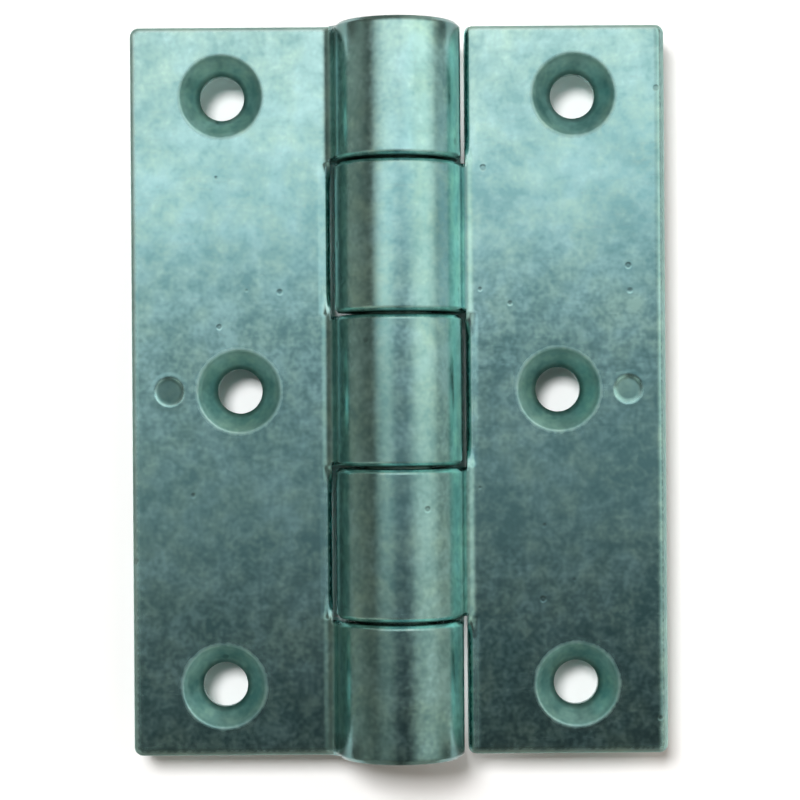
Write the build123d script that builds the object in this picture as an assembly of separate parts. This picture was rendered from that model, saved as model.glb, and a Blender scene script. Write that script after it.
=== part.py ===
"""Steel butt hinge, lying open flat.

Two pressed leaves turn on one fixed pin.  The pin runs along Z through the origin, which is
its middle.  The countersunk faces look towards -Y.  The leaf with three knuckles lies at -X
and grips the pin; the leaf with two knuckles lies at +X and turns on it.  Sizes are in
millimetres and angles in degrees.
"""
import math
import os

from build123d import *

# Leaves and barrel
leaf_height = 75.0
open_width = 55.0
sheet_thickness = 3.0
pin_diameter = 7.0
knuckle_count = 5
end_knuckle_length = 14.1
root_bend_radius = 1.5
corner_radius = 0.9
edge_round = 0.7
back_edge_round = 0.3
knuckle_chamfer = 0.4
flare_length = 2.5

# Clearances
closed_gap = 1.0
knuckle_gap = 0.3
notch_clearance = 0.4
turning_clearance = 0.05
seam_gap = 0.3
pin_end_recess = 0.5
pin_end_chamfer = 0.6

# Screw holes, and the round dent beside the middle one
hole_diameter = 4.6
countersink_diameter = 8.5
countersink_angle = 90.0
outer_hole_end_inset = 7.15
outer_hole_edge_inset = 9.35
middle_hole_edge_inset = 11.05
dent_diameter = 3.0
dent_floor_diameter = 2.2
dent_depth = 0.2
dent_edge_inset = 3.9

# Places that follow from the sizes above
half_height = leaf_height / 2
half_width = open_width / 2
pin_radius = pin_diameter / 2
front_y = closed_gap / 2
back_y = front_y + sheet_thickness
fixed_bore_radius = pin_radius
turning_bore_radius = pin_radius + turning_clearance
notch_x = turning_bore_radius + sheet_thickness + notch_clearance
inner_pitch = (leaf_height - 2 * end_knuckle_length) / (knuckle_count - 2)
joint_heights = [-half_height + end_knuckle_length + i * inner_pitch for i in range(knuckle_count - 1)]
knuckle_bottoms = [-half_height] + [z + knuckle_gap / 2 for z in joint_heights]
knuckle_tops = [z - knuckle_gap / 2 for z in joint_heights] + [half_height]
knuckle_spans = list(zip(knuckle_bottoms, knuckle_tops))

# Slack when an edge is picked by its place or radius
pick_slack = 0.001


def polar(radius, angle):
    """Point of the section at an angle from +X, counted towards the back."""
    return (radius * math.cos(angle), radius * math.sin(angle))


class RolledSection:
    """Section of a leaf through one of its knuckles.

    The sheet leaves the flat, bends towards the front, goes once round the pin and ends
    in an open seam behind its own root.
    """

    def __init__(self, bore_radius):
        self.bore_radius = bore_radius
        self.barrel_radius = bore_radius + sheet_thickness
        self.bend_y = front_y - root_bend_radius
        reach = self.barrel_radius + root_bend_radius
        self.bend_x = math.sqrt(reach**2 - self.bend_y**2)
        self.root_angle = math.atan2(self.bend_y, self.bend_x)
        self.back_bend_radius = root_bend_radius + sheet_thickness
        seam_reach = self.back_bend_radius + seam_gap
        seam_cosine = self.barrel_radius**2 + reach**2 - seam_reach**2
        seam_cosine /= 2 * self.barrel_radius * reach
        self.end_angle = self.root_angle + math.acos(seam_cosine)
        self.lip_round = self.bend_x - notch_x
        self.flat_x = self.bend_x + self.lip_round

    def on_bend(self, radius, turn):
        """Point on an arc about the root bend's centre, at a turn back from the flat."""
        return (self.bend_x - radius * math.sin(turn), self.bend_y + radius * math.cos(turn))

    def face(self):
        """Closed face from the free end of the roll to the start of the flat sheet."""
        half_turn = (math.pi / 2 + self.root_angle) / 2
        far_angle = (self.root_angle + self.end_angle) / 2 + math.pi
        front_flat = (self.flat_x, front_y)
        front_bend = (self.bend_x, front_y)
        front_root = polar(self.barrel_radius, self.root_angle)
        outer_end = polar(self.barrel_radius, self.end_angle)
        inner_end = polar(self.bore_radius, self.end_angle)
        back_root = polar(self.bore_radius, self.root_angle)
        back_bend = (self.bend_x, back_y)
        back_flat = (self.flat_x, back_y)
        outline = [
            Line(front_flat, front_bend),
            ThreePointArc(front_bend, self.on_bend(root_bend_radius, half_turn), front_root),
            ThreePointArc(front_root, polar(self.barrel_radius, far_angle), outer_end),
            Line(outer_end, inner_end),
            ThreePointArc(inner_end, polar(self.bore_radius, far_angle), back_root),
            ThreePointArc(back_root, self.on_bend(self.back_bend_radius, half_turn), back_bend),
            Line(back_bend, back_flat),
            Line(back_flat, front_flat),
        ]
        return make_face(Wire(outline))


def block(x_span, y_span, z_span):
    """Box between two places on each axis."""
    low, high = zip(x_span, y_span, z_span)
    size = [b - a for a, b in zip(low, high)]
    return Pos(*low) * Box(*size, align=(Align.MIN, Align.MIN, Align.MIN))


def at_height(edges, z):
    """Edges whose middle lies at one height."""
    return edges.filter_by_position(Axis.Z, z - pick_slack, z + pick_slack)


def front_edges(solid, z, radii):
    """Edges of a prism's end that bound its front: flat ones, and arcs of the given radii."""
    ends = at_height(solid.edges(), z)
    lines = ends.filter_by(GeomType.LINE)
    arcs = ends.filter_by(GeomType.CIRCLE)
    flat = lines.filter_by_position(Axis.Y, front_y - pick_slack, front_y + pick_slack)
    bent = arcs.filter_by(lambda arc: min(abs(arc.radius - radius) for radius in radii) < pick_slack)
    return flat + bent


def flat_plate(section):
    """The leaf's flat sheet outside the root bend, with its edges rounded by the punch."""
    plate = block((section.flat_x, half_width), (front_y, back_y), (-half_height, half_height))
    corners = plate.edges().filter_by(Axis.Y).group_by(Axis.X)[-1]
    plate = fillet(corners, corner_radius)
    inner = section.flat_x + pick_slack
    front = plate.faces().sort_by(Axis.Y)[0].edges().filter_by(lambda edge: edge.center().X > inner)
    plate = fillet(front, edge_round)
    back = plate.faces().sort_by(Axis.Y)[-1].edges().filter_by(lambda edge: edge.center().X > inner)
    return fillet(back, back_edge_round)


def knuckle(section, span):
    """One rolled knuckle, and the root bend that carries it."""
    prism = extrude(Pos(0, 0, span[0]) * section.face(), amount=span[1] - span[0])
    beyond_notch = block((notch_x, open_width), (-open_width, open_width), span)
    roll = prism - beyond_notch
    root = prism & beyond_notch
    for z in span:
        roll = chamfer(front_edges(roll, z, (section.barrel_radius, root_bend_radius)), knuckle_chamfer)
        if abs(z) > half_height - pick_slack:
            root = fillet(front_edges(root, z, (root_bend_radius,)), edge_round)
    return roll + root


def lip_face(section, bent):
    """Section of the sheet's edge between knuckles: bent up as beside them, or flat and rounded."""
    front_turn = math.asin(section.lip_round / root_bend_radius)
    back_turn = math.asin(section.lip_round / section.back_bend_radius)
    diagonal = section.lip_round * math.sin(math.pi / 4)
    front_flat = (section.flat_x, front_y)
    front_bend = (section.bend_x, front_y)
    back_bend = (section.bend_x, back_y)
    back_flat = (section.flat_x, back_y)
    if bent:
        front_middle = section.on_bend(root_bend_radius, front_turn / 2)
        front_rim = section.on_bend(root_bend_radius, front_turn)
        back_rim = section.on_bend(section.back_bend_radius, back_turn)
    else:
        front_middle = (section.bend_x - diagonal, front_y + section.lip_round - diagonal)
        front_rim = (notch_x, front_y + section.lip_round)
        back_rim = (notch_x, back_y)
    outline = [
        Line(front_flat, front_bend),
        ThreePointArc(front_bend, front_middle, front_rim),
        Line(front_rim, back_rim),
        Line(back_rim, back_bend),
        Line(back_bend, back_flat),
        Line(back_flat, front_flat),
    ]
    return make_face(Wire(outline))


def lip(section, span):
    """Edge of the sheet beside a knuckle of the other leaf.

    It is flat, and flares up at each end where it meets the root bend of its own knuckle.
    """
    flat = lip_face(section, bent=False)
    bent = lip_face(section, bent=True)
    low, high = span
    flares = []
    if low > -half_height:
        flares.append(loft([Pos(0, 0, low) * bent, Pos(0, 0, low + flare_length) * flat]))
        low += flare_length
    if high < half_height:
        flares.append(loft([Pos(0, 0, high - flare_length) * flat, Pos(0, 0, high) * bent]))
        high -= flare_length
    strip = extrude(Pos(0, 0, low) * flat, amount=high - low)
    for z in span:
        if abs(z) > half_height - pick_slack:
            strip = fillet(front_edges(strip, z, (section.lip_round,)), edge_round)
    for flare in flares:
        strip += flare
    return strip


def screw_hole():
    """Countersunk hole's empty space, entering at the origin and running towards the back."""
    hole_radius = hole_diameter / 2
    rim_radius = countersink_diameter / 2
    cone_depth = (rim_radius - hole_radius) / math.tan(math.radians(countersink_angle / 2))
    rim = (rim_radius, 0)
    throat = (hole_radius, cone_depth)
    far = (hole_radius, 2 * sheet_thickness)
    bottom = (0, 2 * sheet_thickness)
    return revolve(make_face(Polyline((0, 0), rim, throat, far, bottom, close=True)), Axis.Y)


def dent():
    """Shallow flat-bottomed punch mark's empty space, entering at the origin."""
    rim = (dent_diameter / 2, 0)
    floor = (dent_floor_diameter / 2, dent_depth)
    bottom = (0, dent_depth)
    return revolve(make_face(Polyline((0, 0), rim, floor, bottom, close=True)), Axis.Y)


def leaf(bore_radius, own, others):
    """Leaf on the +X side, with knuckles in its own spans and lips beside the others."""
    section = RolledSection(bore_radius)
    body = flat_plate(section)
    for number in own:
        body += knuckle(section, knuckle_spans[number])
    for number in others:
        below = knuckle_spans[number - 1][1] if number > 0 else -half_height
        above = knuckle_spans[number + 1][0] if number + 1 < knuckle_count else half_height
        body += lip(section, (below, above))
    outer_x = half_width - outer_hole_edge_inset
    outer_z = half_height - outer_hole_end_inset
    middle_x = half_width - middle_hole_edge_inset
    for x, z in ((outer_x, outer_z), (middle_x, 0), (outer_x, -outer_z)):
        body -= Pos(x, front_y, z) * screw_hole()
    return body - Pos(half_width - dent_edge_inset, front_y, 0) * dent()


def hinge_pin():
    """Plain round rod, a little short of the barrel's ends."""
    rod = Cylinder(pin_radius, leaf_height - 2 * pin_end_recess)
    return chamfer(rod.edges().filter_by(GeomType.CIRCLE), pin_end_chamfer)


even = range(0, knuckle_count, 2)
odd = range(1, knuckle_count, 2)
nodes = {
    "three_knuckle_leaf": mirror(leaf(fixed_bore_radius, even, odd), about=Plane.YZ),
    "two_knuckle_leaf": leaf(turning_bore_radius, odd, even),
    "hinge_pin": hinge_pin(),
}
os.makedirs("parts", exist_ok=True)
for name, shape in nodes.items():
    export_step(shape, f"parts/{name}.step")
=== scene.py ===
import math

import bpy
from mathutils import Euler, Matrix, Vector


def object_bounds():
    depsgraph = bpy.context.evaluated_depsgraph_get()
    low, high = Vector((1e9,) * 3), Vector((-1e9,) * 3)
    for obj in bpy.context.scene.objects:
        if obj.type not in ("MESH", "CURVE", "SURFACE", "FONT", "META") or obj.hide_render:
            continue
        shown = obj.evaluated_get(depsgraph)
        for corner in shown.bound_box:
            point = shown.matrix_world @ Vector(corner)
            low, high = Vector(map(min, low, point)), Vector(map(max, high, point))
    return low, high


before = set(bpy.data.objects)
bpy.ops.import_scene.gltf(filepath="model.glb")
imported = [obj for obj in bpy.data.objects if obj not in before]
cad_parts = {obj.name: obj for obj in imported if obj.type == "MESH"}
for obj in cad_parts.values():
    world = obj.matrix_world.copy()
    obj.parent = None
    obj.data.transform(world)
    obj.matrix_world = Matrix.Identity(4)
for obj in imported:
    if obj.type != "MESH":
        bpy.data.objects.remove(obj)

cad_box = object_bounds()

# Fixed leaf.  A plate of 3 mm steel, blanked, pierced and countersunk in a press, with three of
# its tongues curled round the pin.  It is zinc plated and passivated, which leaves a bluish green
# film, cloudy and speckled, thin on the edges, and dull in the joints and hollows, with dirt in the
# joints.  Shade is painted into its hollows, countersink throats and dent, beside the barrel,
# along its lower rim and on the barrel's ends.
leaf_green = (0.485, 0.84, 0.755, 1.0)
leaf_blue = (0.455, 0.83, 0.825, 1.0)
leaf_dark = (0.25, 0.53, 0.53, 1.0)
leaf_speck = (0.10, 0.20, 0.20, 1.0)
leaf_worn = (0.66, 0.80, 0.76, 1.0)
leaf_shades = (leaf_green, leaf_blue, leaf_dark, leaf_speck, leaf_worn)
leaf_roughness = (0.165, 0.235)
# Painted shade: this tint darkens the faces below the leaf's front, its hollows and outer sides.
hollow_painted_shade = (0.83, 0.86, 0.84, 1.0)
# Painted shade in the throat of each countersink.
throat_painted_shade = (0.50, 0.50, 0.48, 1.0)
# Painted shade in the dent.
dent_painted_shade = (0.55, 0.58, 0.60, 1.0)
# Painted shade along the leaf's lower rim.
sole_painted_shade = (0.70, 0.68, 0.68, 1.0)
# Painted shade on the barrel's ends.
barrel_end_painted_shade = (0.40, 0.40, 0.40, 1.0)
joint_dirt = (0.46, 0.55, 0.51, 1.0)
# Painted shade: the barrel's flanks beside the leaves are blended towards black.
flank_painted_shade = (0.0, 0.0, 0.0, 1.0)
cloud_size = 0.007
hue_size = 0.0034
mottle_size = 0.0014
speckle_size = 0.0005
pit_spacing = 0.003
relief_depth = 0.000012
edge_soften = 0.0003
leaf_front = 0.0005
leaf_back = 0.0035
leaf_half_width = 0.0275
leaf_half_height = 0.0375
edge_round = 0.0007
barrel_radius = 0.0065
notch = 0.00695
middle_knuckle_half = 0.0078
next_knuckle_middle = 0.0156
joint_lift = 0.00008
joint_dirt_reach = 0.00032
joint_dirt_core = 0.00006
dent_place = 0.0236
dent_radius = 0.0015
end_hole_place = (0.01815, 0.03035)
middle_hole_place = 0.01645
hole_radius = 0.0023
countersink_radius = 0.00425
lip_bend = 0.00794
lip_round = 0.00099
# Painted shade on the barrel's left and right flanks and in the dent.
fixed_shade_amounts = (0.14, 0.30, 1.0)
fixed_lip = (1.0, 0.0)
fixed_rim = (0.0007, -0.8)


def node(tree, kind, inputs=None, **settings):
    """New shader node, with its settings, and each input linked or given a value."""
    made = tree.nodes.new(kind)
    for key, value in settings.items():
        setattr(made, key, value)
    for key, value in (inputs or {}).items():
        if isinstance(value, bpy.types.NodeSocket):
            tree.links.new(value, made.inputs[key])
        else:
            made.inputs[key].default_value = value
    return made


def calculate(tree, operation, *values):
    """Result of a Math node."""
    return node(tree, "ShaderNodeMath", dict(enumerate(values)), operation=operation).outputs[0]


def apart(tree, first, second):
    """How far two values lie apart."""
    return calculate(tree, "ABSOLUTE", calculate(tree, "SUBTRACT", first, second))


def product(tree, *shares):
    """Product of several values."""
    total = shares[0]
    for share in shares[1:]:
        total = calculate(tree, "MULTIPLY", total, share)
    return total


def weighted_sum(tree, *parts):
    """Sum of values, each with its weight."""
    total = None
    for value, weight in parts:
        part = calculate(tree, "MULTIPLY", value, weight)
        total = part if total is None else calculate(tree, "ADD", total, part)
    return total


def ramp(tree, value, start, end, low=0.0, high=1.0, smooth=True):
    """Value carried from the range start to end into the range low to high."""
    places = {"Value": value, "From Min": start, "From Max": end, "To Min": low, "To Max": high}
    shape = "SMOOTHSTEP" if smooth else "LINEAR"
    return node(tree, "ShaderNodeMapRange", places, interpolation_type=shape).outputs["Result"]


def blend(tree, share, first, second, way="MIX"):
    """Colour between two colours, or the first one multiplied by the second."""
    settings = {"Factor": share, "A": first, "B": second}
    return node(tree, "ShaderNodeMix", settings, data_type="RGBA", blend_type=way).outputs["Result"]


def grain(tree, place, size, detail=2.0, roughness=0.5):
    """Noise whose spots are about one size, in metres."""
    settings = {"Vector": place, "Scale": 1.0 / size, "Detail": detail, "Roughness": roughness}
    return node(tree, "ShaderNodeTexNoise", settings).outputs["Fac"]


scratch_turns = (0.5, 1.35, 2.6)
scratch_stretch = 14.0
scratch_spacing = 0.004
scratch_width = 0.006
scratch_patch_size = 0.009
scratch_patches = (0.60, 0.68)


def scratched(tree, place):
    """Fine hairlines in three directions, here and there."""
    most = None
    for number, turn in enumerate(scratch_turns):
        lay = {
            "Vector": place,
            "Location": (0.1 * number, 0.0, 0.0),
            "Rotation": (0.0, turn, 0.0),
            "Scale": (1.0, 1.0, scratch_stretch),
        }
        along = node(tree, "ShaderNodeMapping", lay).outputs["Vector"]
        off_line = apart(tree, grain(tree, along, scratch_spacing, detail=1.0), 0.5)
        line = ramp(tree, off_line, 0.0, scratch_width, 1.0, 0.0)
        patches = grain(tree, along, scratch_patch_size, detail=0.0)
        line = product(tree, line, ramp(tree, patches, *scratch_patches))
        most = line if most is None else calculate(tree, "MAXIMUM", most, line)
    return most


def distance(tree, first, second):
    """Length of a step made of two parts at right angles."""
    sides = node(tree, "ShaderNodeCombineXYZ", {"X": first, "Y": second}).outputs["Vector"]
    return node(tree, "ShaderNodeVectorMath", {0: sides}, operation="LENGTH").outputs["Value"]


front_fade = (0.00004, 0.00022)
back_fade = (0.00005, 0.0002)


def between_faces(tree, depth):
    """Share of places under the leaf's front and above its back, fading in at both."""
    under_front = ramp(tree, depth, leaf_front + front_fade[0], leaf_front + front_fade[1])
    above_back = ramp(tree, depth, leaf_back - back_fade[0], leaf_back - back_fade[1])
    return product(tree, under_front, above_back)


throat_edge = hole_radius + 0.0006
throat_full = hole_radius + 0.0001
dull_rim_start = countersink_radius - 0.0006
dull_rim_full = countersink_radius - 0.0002
dull_rim_end = countersink_radius + 0.0004
dull_rim_depth = (leaf_front + 0.0015, leaf_front + 0.001)


def countersink_marks(tree, place):
    """Shares of the throat of a countersink, darkened with painted shade, and of its dull rim, on
    the leaf's front.
    """
    axes = node(tree, "ShaderNodeSeparateXYZ", {"Vector": place}).outputs
    across = calculate(tree, "ABSOLUTE", axes["X"])
    height = calculate(tree, "ABSOLUTE", axes["Z"])
    near_end = calculate(tree, "GREATER_THAN", height, 0.5 * end_hole_place[1])
    hole_across = ramp(tree, near_end, 0.0, 1.0, middle_hole_place, end_hole_place[0])
    hole_height = product(tree, near_end, end_hole_place[1])
    offset_across = calculate(tree, "SUBTRACT", across, hole_across)
    offset_up = calculate(tree, "SUBTRACT", height, hole_height)
    radius = distance(tree, offset_across, offset_up)
    in_throat = ramp(tree, radius, throat_edge, throat_full)
    throat = product(tree, in_throat, between_faces(tree, axes["Y"]))
    dull_rim = product(
        tree,
        ramp(tree, radius, dull_rim_start, dull_rim_full),
        ramp(tree, radius, dull_rim_end, countersink_radius),
        ramp(tree, axes["Y"], *dull_rim_depth),
    )
    return throat, dull_rim


joint_dirt_radius = (barrel_radius + 0.0005, barrel_radius + 0.0001)
leaf_start = (notch + 0.0001, notch + 0.0005)
# Where the painted shade beside the barrel lies.
flank_start = (0.0054, 0.0061)
flank_depth = (leaf_front + 0.0005, leaf_front)
flank_parting = 0.001
dent_slope = 0.0003
burr_start = dent_radius - 0.00005
burr_crest = dent_radius + 0.0001
burr_end = dent_radius + 0.0006


def leaf_dirt_and_shade(tree, place, amounts):
    """Shares of dirt in the knuckle joints, of painted shade in the plate's hollows, beside the
    barrel and in the dent, and the burr round the dent.  The amounts are those of the painted
    shade on the barrel's left and right flanks and in the dent."""
    axes = node(tree, "ShaderNodeSeparateXYZ", {"Vector": place}).outputs
    across = calculate(tree, "ABSOLUTE", axes["X"])
    radius = distance(tree, axes["X"], axes["Y"])
    height = apart(tree, axes["Z"], joint_lift)
    from_joint = apart(tree, apart(tree, height, next_knuckle_middle), middle_knuckle_half)
    joint = product(
        tree,
        ramp(tree, from_joint, joint_dirt_reach, joint_dirt_core),
        ramp(tree, radius, *joint_dirt_radius),
    )
    past_notch = ramp(tree, across, *leaf_start)
    hollow = product(tree, between_faces(tree, axes["Y"]), past_notch)
    # Painted shade beside the barrel.
    flank = product(
        tree,
        ramp(tree, axes["X"], -flank_parting, flank_parting, amounts[0], amounts[1]),
        ramp(tree, across, *flank_start),
        ramp(tree, across, *reversed(leaf_start)),
        ramp(tree, axes["Y"], *flank_depth),
    )
    from_dent = distance(tree, calculate(tree, "SUBTRACT", across, dent_place), axes["Z"])
    burr = product(
        tree,
        ramp(tree, from_dent, burr_start, burr_crest),
        ramp(tree, from_dent, burr_end, burr_crest),
    )
    in_dent = ramp(tree, from_dent, dent_radius, dent_radius - dent_slope)
    dent = product(tree, in_dent, amounts[2])
    return joint, hollow, flank, dent, burr


notch_fade = 0.0001
rim_fade = (-edge_round, -0.3 * edge_round)
end_roll = 0.5
# Where the painted shade on the barrel's ends lies.
shaded_end_flank = (0.0034, 0.0046)
shaded_end_reach = (-0.0038, -0.0008)
shaded_end_edge = (-0.0007, -0.0003)
lip_end_fade = 0.0002
lip_start = (lip_bend - 0.0007, lip_bend - 0.0004)
lip_end = (lip_bend + 0.0004, lip_bend + 0.0001)
lip_reach = 0.00045
lip_lift = 0.03


def leaf_edges(tree, place, lip_places, side_rim):
    """Shares of the sheared rim, of its lower side and of the barrel's ends, the last two darkened
    with painted shade, the depth of the roll that the punch left along the rim, and the turn of
    the face at the lip beside the other leaf's knuckles.  The lip places tell if it lies beside
    the knuckles next to the middle one, or beside the others.  The side rim has its width and how
    much rounder than the solid's it looks."""
    axes = node(tree, "ShaderNodeSeparateXYZ", {"Vector": place}).outputs
    across = calculate(tree, "ABSOLUTE", axes["X"])
    on_leaf = ramp(tree, across, notch - notch_fade, notch, -1.0, 0.0)
    past_side = calculate(tree, "SUBTRACT", across, leaf_half_width)
    past_top = calculate(tree, "SUBTRACT", axes["Z"], leaf_half_height)
    downward = calculate(tree, "MULTIPLY", axes["Z"], -1.0)
    past_foot = calculate(tree, "SUBTRACT", downward, leaf_half_height)
    past_either = calculate(tree, "MAXIMUM", past_top, past_foot)
    past_end = calculate(tree, "ADD", past_either, on_leaf)
    past_rim = calculate(tree, "MAXIMUM", past_side, past_end)
    rim = ramp(tree, past_rim, *rim_fade)
    sole = ramp(tree, calculate(tree, "ADD", past_foot, on_leaf), *rim_fade)
    shaded_reach = ramp(tree, past_either, *shaded_end_reach)
    shaded_flank = product(tree, shaded_reach, ramp(tree, across, *shaded_end_flank))
    shaded_edge = ramp(tree, past_either, *shaded_end_edge)
    barrel_end = calculate(tree, "MAXIMUM", shaded_flank, shaded_edge)
    barrel_end = product(tree, barrel_end, ramp(tree, across, notch, notch - notch_fade))
    side_width, side_roll = side_rim
    rolled_side = ramp(tree, past_side, -side_width, 0.0, smooth=False)
    rolled_end = ramp(tree, past_end, -edge_round, 0.0, smooth=False)
    roll = weighted_sum(
        tree,
        (product(tree, rolled_side, rolled_side), -0.5 * side_width * side_roll),
        (product(tree, rolled_end, rolled_end), 0.5 * edge_round * end_roll),
    )

    height = apart(tree, calculate(tree, "ABSOLUTE", axes["Z"]), next_knuckle_middle)
    joint_below = middle_knuckle_half - lip_end_fade
    joint_above = middle_knuckle_half + lip_end_fade
    lip = product(
        tree,
        ramp(tree, height, joint_below, joint_above, *lip_places),
        ramp(tree, across, *lip_end),
        ramp(tree, across, *lip_start),
    )
    steepest = lip_reach / lip_round
    bent = ramp(tree, across, lip_bend, lip_bend - lip_reach, 0.0, steepest, smooth=False)
    outward = product(tree, calculate(tree, "SIGN", axes["X"]), bent, lip)
    upward = product(tree, lip, lip_lift)
    lip_turn = node(tree, "ShaderNodeCombineXYZ", {"X": outward, "Z": upward}).outputs["Vector"]
    return rim, sole, barrel_end, roll, lip_turn


rare_pit = 0.5
pit_size = 0.15
pit_slope = 0.07
pit_dark = 0.4
scratch_shine = 0.15
edge_turn = (0.985, 0.90)
edge_patches = (0.45, 0.65)
edge_wear = 0.2
rim_wear = 0.3
hue_range = (0.35, 0.65)
tone_range = (0.925, 1.555)
fine_range = (0.6, 1.0)


def zinc_finish(name, shades, roughness, shade_amounts, lip_places, side_rim, seed):
    """Zinc plate under a thin passivation film."""
    green, blue, dark, speck, worn = shades
    material = bpy.data.materials.new(name)
    material.use_nodes = True
    tree = material.node_tree
    tree.nodes.clear()
    own_place = node(tree, "ShaderNodeTexCoord").outputs["Object"]
    shift = {0: own_place, 1: (0.0, seed, 0.0)}
    place = node(tree, "ShaderNodeVectorMath", shift, operation="ADD").outputs["Vector"]

    clouds = grain(tree, place, cloud_size, detail=3.0, roughness=0.6)
    hue = grain(tree, place, hue_size, detail=2.0)
    mottle = grain(tree, place, mottle_size, detail=2.0, roughness=0.55)
    speckle = grain(tree, place, speckle_size, detail=0.0)
    scratches = scratched(tree, place)
    joint, hollow, flank, dent, burr = leaf_dirt_and_shade(tree, own_place, shade_amounts)
    throat, dull_rim = countersink_marks(tree, own_place)
    rim, sole, barrel_end, roll, lip_turn = leaf_edges(tree, own_place, lip_places, side_rim)

    spots = node(tree, "ShaderNodeTexVoronoi", {"Vector": place, "Scale": 1.0 / pit_spacing})
    chance = node(tree, "ShaderNodeSeparateColor", {"Color": spots.outputs["Color"]}).outputs[0]
    spot_size = ramp(tree, chance, rare_pit, 1.0, 0.0, pit_size)
    inside_spot = calculate(tree, "SUBTRACT", spot_size, spots.outputs["Distance"])
    pits = ramp(tree, inside_spot, 0.0, pit_slope)

    soft_edge = node(tree, "ShaderNodeBevel", {"Radius": edge_soften}, samples=4)
    soft_normal = soft_edge.outputs["Normal"]
    true_normal = node(tree, "ShaderNodeNewGeometry").outputs["Normal"]
    both = {0: soft_normal, 1: true_normal}
    facing = node(tree, "ShaderNodeVectorMath", both, operation="DOT_PRODUCT").outputs["Value"]
    edges = ramp(tree, facing, *edge_turn)
    wear = product(tree, edges, ramp(tree, mottle, *edge_patches))

    tone = weighted_sum(tree, (clouds, 1.1), (mottle, 1.0), (speckle, 0.35))
    light = blend(tree, ramp(tree, hue, *hue_range), green, blue)
    colour = blend(tree, ramp(tree, tone, *tone_range, smooth=False), dark, light)
    colour = blend(tree, product(tree, pits, pit_dark), colour, speck)
    colour = blend(tree, product(tree, scratches, scratch_shine), colour, worn)
    colour = blend(tree, product(tree, wear, edge_wear), colour, worn)
    colour = blend(tree, product(tree, rim, rim_wear), colour, worn)
    # Painted shade in the hollows, countersink throats and dent, on the lower rim, on the barrel's
    # ends and beside the barrel; dirt in the joints.
    colour = blend(tree, hollow, colour, hollow_painted_shade, "MULTIPLY")
    colour = blend(tree, throat, colour, throat_painted_shade, "MULTIPLY")
    colour = blend(tree, dent, colour, dent_painted_shade, "MULTIPLY")
    colour = blend(tree, sole, colour, sole_painted_shade, "MULTIPLY")
    colour = blend(tree, barrel_end, colour, barrel_end_painted_shade, "MULTIPLY")
    colour = blend(tree, flank, colour, flank_painted_shade)
    colour = blend(tree, joint, colour, joint_dirt, "MULTIPLY")

    fine = weighted_sum(tree, (mottle, 1.0), (speckle, 0.6))
    gloss = weighted_sum(
        tree,
        (ramp(tree, fine, *fine_range, *roughness), 1.0),
        (hollow, 0.16),
        (joint, 0.2),
        (dent, 0.25),
        (rim, 0.2),
        (dull_rim, 0.25),
    )
    turned = node(tree, "ShaderNodeVectorMath", {0: soft_normal, 1: lip_turn}, operation="ADD")
    turned = node(tree, "ShaderNodeVectorMath", {0: turned.outputs[0]}, operation="NORMALIZE")
    rolled = {"Strength": 1.0, "Distance": 1.0, "Height": roll, "Normal": turned.outputs[0]}
    rolled = node(tree, "ShaderNodeBump", rolled).outputs["Normal"]
    height = weighted_sum(
        tree,
        (clouds, 0.35),
        (mottle, 0.12),
        (speckle, 0.05),
        (scratches, -0.1),
        (pits, -1.4),
        (burr, 0.7),
    )
    bump = {"Strength": 1.0, "Distance": relief_depth, "Height": height, "Normal": rolled}
    relief = node(tree, "ShaderNodeBump", bump).outputs["Normal"]

    metal = {"Base Color": colour, "Metallic": 1.0, "Roughness": gloss, "Normal": relief}
    surface = node(tree, "ShaderNodeBsdfPrincipled", metal).outputs["BSDF"]
    node(tree, "ShaderNodeOutputMaterial", {"Surface": surface})
    return material


def dress(node_name, material):
    """Gives a solid of the frame its finish."""
    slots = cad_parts[node_name].data.materials
    slots.clear()
    slots.append(material)


fixed_look = (leaf_shades, leaf_roughness, fixed_shade_amounts, fixed_lip, fixed_rim)
dress("three_knuckle_leaf", zinc_finish("fixed_leaf_zinc", *fixed_look, 0.0))

# Swinging leaf.  The same 3 mm steel with two curled tongues, which turn on the pin between the
# fixed leaf's three.  It comes out of the same plating drum, with its own clouds and marks.
# Painted shade on the barrel's left and right flanks and in the dent.
swing_shade_amounts = (0.40, 0.0, 0.1)
swing_lip = (0.0, 1.0)
swing_rim = (0.0012, 0.5)
swing_look = (leaf_shades, leaf_roughness, swing_shade_amounts, swing_lip, swing_rim)
dress("two_knuckle_leaf", zinc_finish("swing_leaf_zinc", *swing_look, 0.2))

# Pin.  A plain drawn steel rod pushed through all five knuckles and held by the fixed leaf's
# three.  Its cropped ends are duller and more scuffed than the leaves, with the same painted
# shade as the barrel's ends, and dirt sits on it in the joints between the knuckles.
pin_green = (0.52, 0.72, 0.65, 1.0)
pin_blue = (0.50, 0.71, 0.71, 1.0)
pin_dark = (0.40, 0.60, 0.57, 1.0)
pin_shades = (pin_green, pin_blue, pin_dark, leaf_speck, leaf_worn)
pin_roughness = (0.25, 0.38)
# No painted shade on the pin's flanks or dent.
pin_shade_amounts = (0.0, 0.0, 0.0)
pin_lip = (0.0, 0.0)
pin_rim = (0.0007, 0.0)
pin_look = (pin_shades, pin_roughness, pin_shade_amounts, pin_lip, pin_rim)
dress("hinge_pin", zinc_finish("pin_zinc", *pin_look, 0.4))

# Table.  A white sheet on which the hinge lies on the back of its barrel, so the leaves stand off
# it and shade it.  Seen from behind it is open, to show the hinge's back.
table_gap = 0.00005
table_half_size = 0.056
table_white = (0.94, 0.94, 0.94, 1.0)

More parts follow.
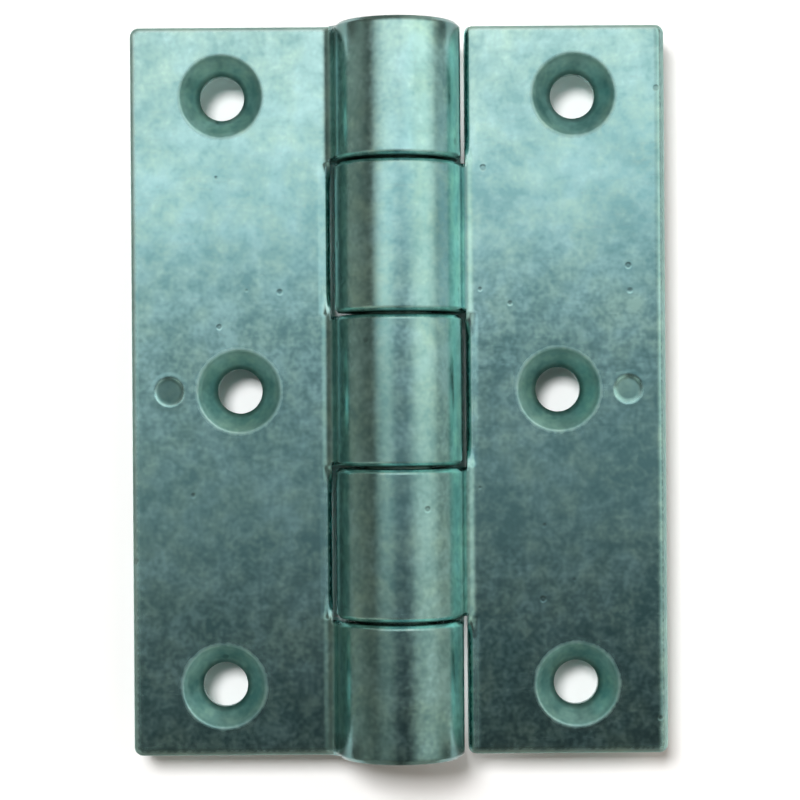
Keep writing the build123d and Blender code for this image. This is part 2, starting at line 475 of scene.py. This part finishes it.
table_y = cad_box[1][1] + table_gap
table_mesh = bpy.data.meshes.new("table")
table_corners = [
    (-table_half_size, table_y, -table_half_size),
    (table_half_size, table_y, -table_half_size),
    (table_half_size, table_y, table_half_size),
    (-table_half_size, table_y, table_half_size),
]
table_mesh.from_pydata(table_corners, [], [(0, 1, 2, 3)])
table = bpy.data.objects.new("table", table_mesh)
bpy.context.scene.collection.objects.link(table)

table_finish = bpy.data.materials.new("table_white")
table_finish.use_nodes = True
tree = table_finish.node_tree
tree.nodes.clear()
from_behind = node(tree, "ShaderNodeNewGeometry").outputs["Backfacing"]
passed_before = node(tree, "ShaderNodeLightPath").outputs["Transparent Depth"]
passed_before = calculate(tree, "GREATER_THAN", passed_before, 0.5)
open_share = calculate(tree, "MAXIMUM", from_behind, passed_before)
white = node(tree, "ShaderNodeBsdfDiffuse", {"Color": table_white}).outputs["BSDF"]
clear = node(tree, "ShaderNodeBsdfTransparent").outputs["BSDF"]
table_surface = node(tree, "ShaderNodeMixShader", {0: open_share, 1: white, 2: clear})
node(tree, "ShaderNodeOutputMaterial", {"Surface": table_surface.outputs["Shader"]})
table_mesh.materials.append(table_finish)

# Light panels.  Two white diffusers lit from behind, one above the camera and one like it behind
# the hinge.  They are bright above, where the light is warm, and fade towards their edges.
millimetres_in_metre = 1000.0
panel_distance = 0.233
panel_tilt = math.radians(-4.2)
panel_across = (
    (-250.0, 0.0), (-160.0, 0.62), (-94.0, 0.94), (-40.0, 1.04), (10.0, 1.04),
    (22.0, 0.97), (34.0, 1.02), (46.0, 1.10), (76.0, 1.10), (169.0, 0.0),
)
panel_up = (
    (-96.0, 0.0), (-71.0, 0.035), (-41.0, 0.09), (-23.0, 0.23), (-9.0, 0.27), (3.0, 0.19),
    (11.0, 0.23), (21.0, 0.43), (39.0, 0.93), (54.0, 1.03), (300.0, 1.10), (400.0, 0.0),
)
panel_low_colour = (0.98, 1.0, 1.06, 1.0)
panel_high_colour = (1.20, 1.0, 0.97, 1.0)
panel_colour_change = (22.0, 78.0)


def profile(tree, place, stops):
    """Level of a light along a line or an angle, straight between the stops."""
    first = stops[0][0]
    span = stops[-1][0] - first
    share = calculate(tree, "DIVIDE", calculate(tree, "SUBTRACT", place, first), span)
    curve = node(tree, "ShaderNodeFloatCurve", {"Value": share})
    curve.mapping.clip_max_y = 2.0
    curve.mapping.extend = "HORIZONTAL"
    points = curve.mapping.curves[0].points
    points[0].location = (0.0, stops[0][1])
    points[1].location = (1.0, stops[-1][1])
    for stop, level in stops[1:-1]:
        points.new((stop - first) / span, level)
    for point in points:
        point.handle_type = "VECTOR"
    curve.mapping.update()
    return curve.outputs["Value"]


panel_light = bpy.data.materials.new("panel_light")
panel_light.use_nodes = True
tree = panel_light.node_tree
tree.nodes.clear()
panel_place = node(tree, "ShaderNodeTexCoord").outputs["Object"]
axes = node(tree, "ShaderNodeSeparateXYZ", {"Vector": panel_place}).outputs
across = calculate(tree, "MULTIPLY", axes["X"], millimetres_in_metre)
up = calculate(tree, "MULTIPLY", axes["Z"], millimetres_in_metre)
level = product(tree, profile(tree, across, panel_across), profile(tree, up, panel_up))
change = ramp(tree, up, *panel_colour_change)
colour = blend(tree, change, panel_low_colour, panel_high_colour)
glow = node(tree, "ShaderNodeEmission", {"Color": colour, "Strength": level}).outputs["Emission"]
clear = node(tree, "ShaderNodeBsdfTransparent").outputs["BSDF"]
panel_surface = node(tree, "ShaderNodeAddShader", {0: glow, 1: clear}).outputs["Shader"]
node(tree, "ShaderNodeOutputMaterial", {"Surface": panel_surface})

panel_left = panel_across[0][0] / millimetres_in_metre
panel_right = panel_across[-1][0] / millimetres_in_metre
panel_low = panel_up[0][0] / millimetres_in_metre
panel_high = panel_up[-1][0] / millimetres_in_metre
panel_mesh = bpy.data.meshes.new("panel")
panel_corners = [
    (panel_left, -panel_distance, panel_low),
    (panel_right, -panel_distance, panel_low),
    (panel_right, -panel_distance, panel_high),
    (panel_left, -panel_distance, panel_high),
]
panel_mesh.from_pydata(panel_corners, [], [(0, 1, 2, 3)])
panel_mesh.materials.append(panel_light)
for name, turn in (("front_panel", 0.0), ("back_panel", math.pi)):
    panel = bpy.data.objects.new(name, panel_mesh)
    panel.rotation_euler = Euler((0.0, panel_tilt, turn))
    panel.visible_camera = False
    panel.visible_diffuse = False
    panel.visible_shadow = False
    bpy.context.scene.collection.objects.link(panel)

# Room.  The dim room round the table, with a doorway on the left and a bluish window on the right.
# The barrel mirrors its walls in bands.  The camera itself sees plain white beyond the table.
overhead = ((45.0, 0.0), (62.0, 0.3), (90.0, 0.35))
on_the_left = ((-12.0, 0.0), (-8.0, 0.11), (-1.0, 0.22), (2.0, 0.8), (3.4, 0.0))
on_the_left_sides = ((-46.0, 0.0), (-30.0, 0.8), (-20.0, 1.0), (-12.0, 0.6), (-5.0, 0.0))
on_the_right = (
    (-14.0, 0.10), (-8.0, 0.22), (-4.0, 0.48), (0.0, 0.72), (4.0, 1.06), (8.0, 1.0),
    (45.0, 1.0), (65.0, 0.5), (90.0, 0.3),
)
on_the_right_sides = ((16.0, 0.0), (36.0, 0.95), (52.0, 1.0), (66.0, 0.65), (76.0, 0.0))
room_sides = (
    (-130.0, 0.12), (-88.0, 0.22), (-70.0, 0.16), (-45.0, 0.10), (-12.0, 0.01),
    (12.0, 0.01), (60.0, 0.17), (78.0, 0.345), (130.0, 0.3),
)
below = ((-80.0, 0.10), (-45.0, 0.12), (-26.0, 0.10), (-14.0, 0.0))
low_down = ((-60.0, 0.2), (-40.0, 0.4), (-30.0, 0.3), (-20.0, 0.0))
low_down_sides = ((18.0, 0.0), (34.0, 1.0), (60.0, 1.0), (80.0, 0.0))
doorway = ((4.5, 0.0), (7.0, 0.09), (14.0, 0.09), (24.0, 0.0))
doorway_sides = ((-110.0, 0.0), (-95.0, 1.0), (-70.0, 1.0), (-55.0, 0.0))
window = ((0.5, 0.0), (2.5, 0.48), (5.0, 0.48), (7.5, 0.17), (10.0, 0.0))
window_sides = ((66.0, 0.0), (80.0, 0.7), (98.0, 1.0), (108.0, 0.0))
room_colour = (1.13, 1.0, 0.87, 1.0)
right_colour = (1.12, 1.0, 0.93, 1.0)
window_colour = (0.60, 0.85, 1.05, 1.0)
backdrop_white = (1.0, 1.0, 1.0, 1.0)

world = bpy.data.worlds.new("studio")
world.use_nodes = True
bpy.context.scene.world = world
tree = world.node_tree
tree.nodes.clear()
direction = node(tree, "ShaderNodeTexCoord").outputs["Generated"]
axes = node(tree, "ShaderNodeSeparateXYZ", {"Vector": direction}).outputs
rise = calculate(tree, "DEGREES", calculate(tree, "ARCSINE", axes["Z"]))
ahead = calculate(tree, "ABSOLUTE", axes["Y"])
turn = calculate(tree, "DEGREES", calculate(tree, "ARCTAN2", axes["X"], ahead))
left = product(tree, profile(tree, rise, on_the_left), profile(tree, turn, on_the_left_sides))
right = product(tree, profile(tree, rise, on_the_right), profile(tree, turn, on_the_right_sides))
aside = calculate(tree, "ABSOLUTE", turn)
low = product(tree, profile(tree, rise, low_down), profile(tree, aside, low_down_sides))
door = product(tree, profile(tree, rise, doorway), profile(tree, turn, doorway_sides))
level = profile(tree, turn, room_sides)
for share in (profile(tree, rise, overhead), left, door, low, profile(tree, rise, below)):
    level = calculate(tree, "ADD", level, share)
outside = product(tree, profile(tree, rise, window), profile(tree, turn, window_sides))
room = node(tree, "ShaderNodeBackground", {"Color": room_colour, "Strength": level})
studio_light = room.outputs["Background"]
for tint, share in ((right_colour, right), (window_colour, outside)):
    added = node(tree, "ShaderNodeBackground", {"Color": tint, "Strength": share})
    both = {0: studio_light, 1: added.outputs["Background"]}
    studio_light = node(tree, "ShaderNodeAddShader", both).outputs["Shader"]
white = node(tree, "ShaderNodeBackground", {"Color": backdrop_white}).outputs["Background"]
seen_directly = node(tree, "ShaderNodeLightPath").outputs["Is Camera Ray"]
backdrop = node(tree, "ShaderNodeMixShader", {0: seen_directly, 1: studio_light, 2: white})
node(tree, "ShaderNodeOutputWorld", {"Surface": backdrop.outputs["Shader"]})

# Shadow lamp.  A soft box high on the left, which lights the table alone.  The hinge's shadow on
# the table comes from it, while the metal mirrors only the panels and the room.
shadow_lamp_distance = 1.0
shadow_lamp_turn = math.radians(-12.0)
shadow_lamp_rise = math.radians(18.7)
shadow_lamp_width = 0.32
shadow_lamp_height = 0.28
shadow_lamp_power = 10.0

shadow_lamp = bpy.data.lights.new("shadow_lamp", "AREA")
shadow_lamp.shape = "RECTANGLE"
shadow_lamp.size = shadow_lamp_width
shadow_lamp.size_y = shadow_lamp_height
shadow_lamp.energy = shadow_lamp_power
shadow_lamp_stand = bpy.data.objects.new("shadow_lamp", shadow_lamp)
shadow_lamp_stand.location = (
    shadow_lamp_distance * math.sin(shadow_lamp_turn) * math.cos(shadow_lamp_rise),
    -shadow_lamp_distance * math.cos(shadow_lamp_turn) * math.cos(shadow_lamp_rise),
    shadow_lamp_distance * math.sin(shadow_lamp_rise),
)
shadow_lamp_stand.rotation_euler = Euler((math.pi / 2 - shadow_lamp_rise, 0.0, shadow_lamp_turn))
shadow_lamp_stand.visible_glossy = False
bpy.context.scene.collection.objects.link(shadow_lamp_stand)
table_alone = bpy.data.collections.new("table_alone")
table_alone.objects.link(table)
shadow_lamp_stand.light_linking.receiver_collection = table_alone

# Slot lamps.  Two narrow spots in front of the hinge, which light the table alone.  They brighten
# it where it shows through the slots beside the end knuckles.
slot_lamp_distance = 0.6
slot_lamp_turn = math.radians(-1.6)
slot_lamp_beam = math.radians(1.8)
slot_lamp_radius = 0.004
slot_lamp_power = 8.0
slot_across = 0.0069
slot_middle = 0.0304

for name, height in (("upper_slot_lamp", slot_middle), ("lower_slot_lamp", -slot_middle)):
    slot_lamp = bpy.data.lights.new(name, "SPOT")
    slot_lamp.spot_size = slot_lamp_beam
    slot_lamp.spot_blend = 1.0
    slot_lamp.shadow_soft_size = slot_lamp_radius
    slot_lamp.energy = slot_lamp_power
    slot_lamp_stand = bpy.data.objects.new(name, slot_lamp)
    slot_lamp_stand.location = (
        slot_across + slot_lamp_distance * math.sin(slot_lamp_turn),
        -slot_lamp_distance * math.cos(slot_lamp_turn),
        height,
    )
    slot_lamp_stand.rotation_euler = Euler((math.pi / 2, 0.0, slot_lamp_turn))
    slot_lamp_stand.visible_glossy = False
    bpy.context.scene.collection.objects.link(slot_lamp_stand)
    slot_lamp_stand.light_linking.receiver_collection = table_alone

# Camera.  It looks straight at the countersunk faces from a little over 230 mm, and is turned by
# less than half a degree, as the hinge lies in the picture.
picture_size = 800
picture_centre = picture_size / 2
hinge_centre_across = 399.0
hinge_centre_down = 390.3
millimetre_pixels = 9.725
camera_distance = 0.233
camera_roll = math.radians(0.40)
nearest_seen = 0.01
farthest_seen = 10.0

pixel = 1.0 / (millimetres_in_metre * millimetre_pixels)
camera_data = bpy.data.cameras.new("camera")
camera_data.sensor_fit = "HORIZONTAL"
camera_data.angle = 2 * math.atan(picture_centre * pixel / camera_distance)
camera_data.clip_start = nearest_seen
camera_data.clip_end = farthest_seen
camera = bpy.data.objects.new("camera", camera_data)
camera.location = (
    (picture_centre - hinge_centre_across) * pixel,
    leaf_front - camera_distance,
    (hinge_centre_down - picture_centre) * pixel,
)
camera.rotation_euler = Euler((math.pi / 2, camera_roll, 0.0))
bpy.context.scene.collection.objects.link(camera)
bpy.context.scene.camera = camera
bpy.context.scene.view_settings.view_transform = "Standard"
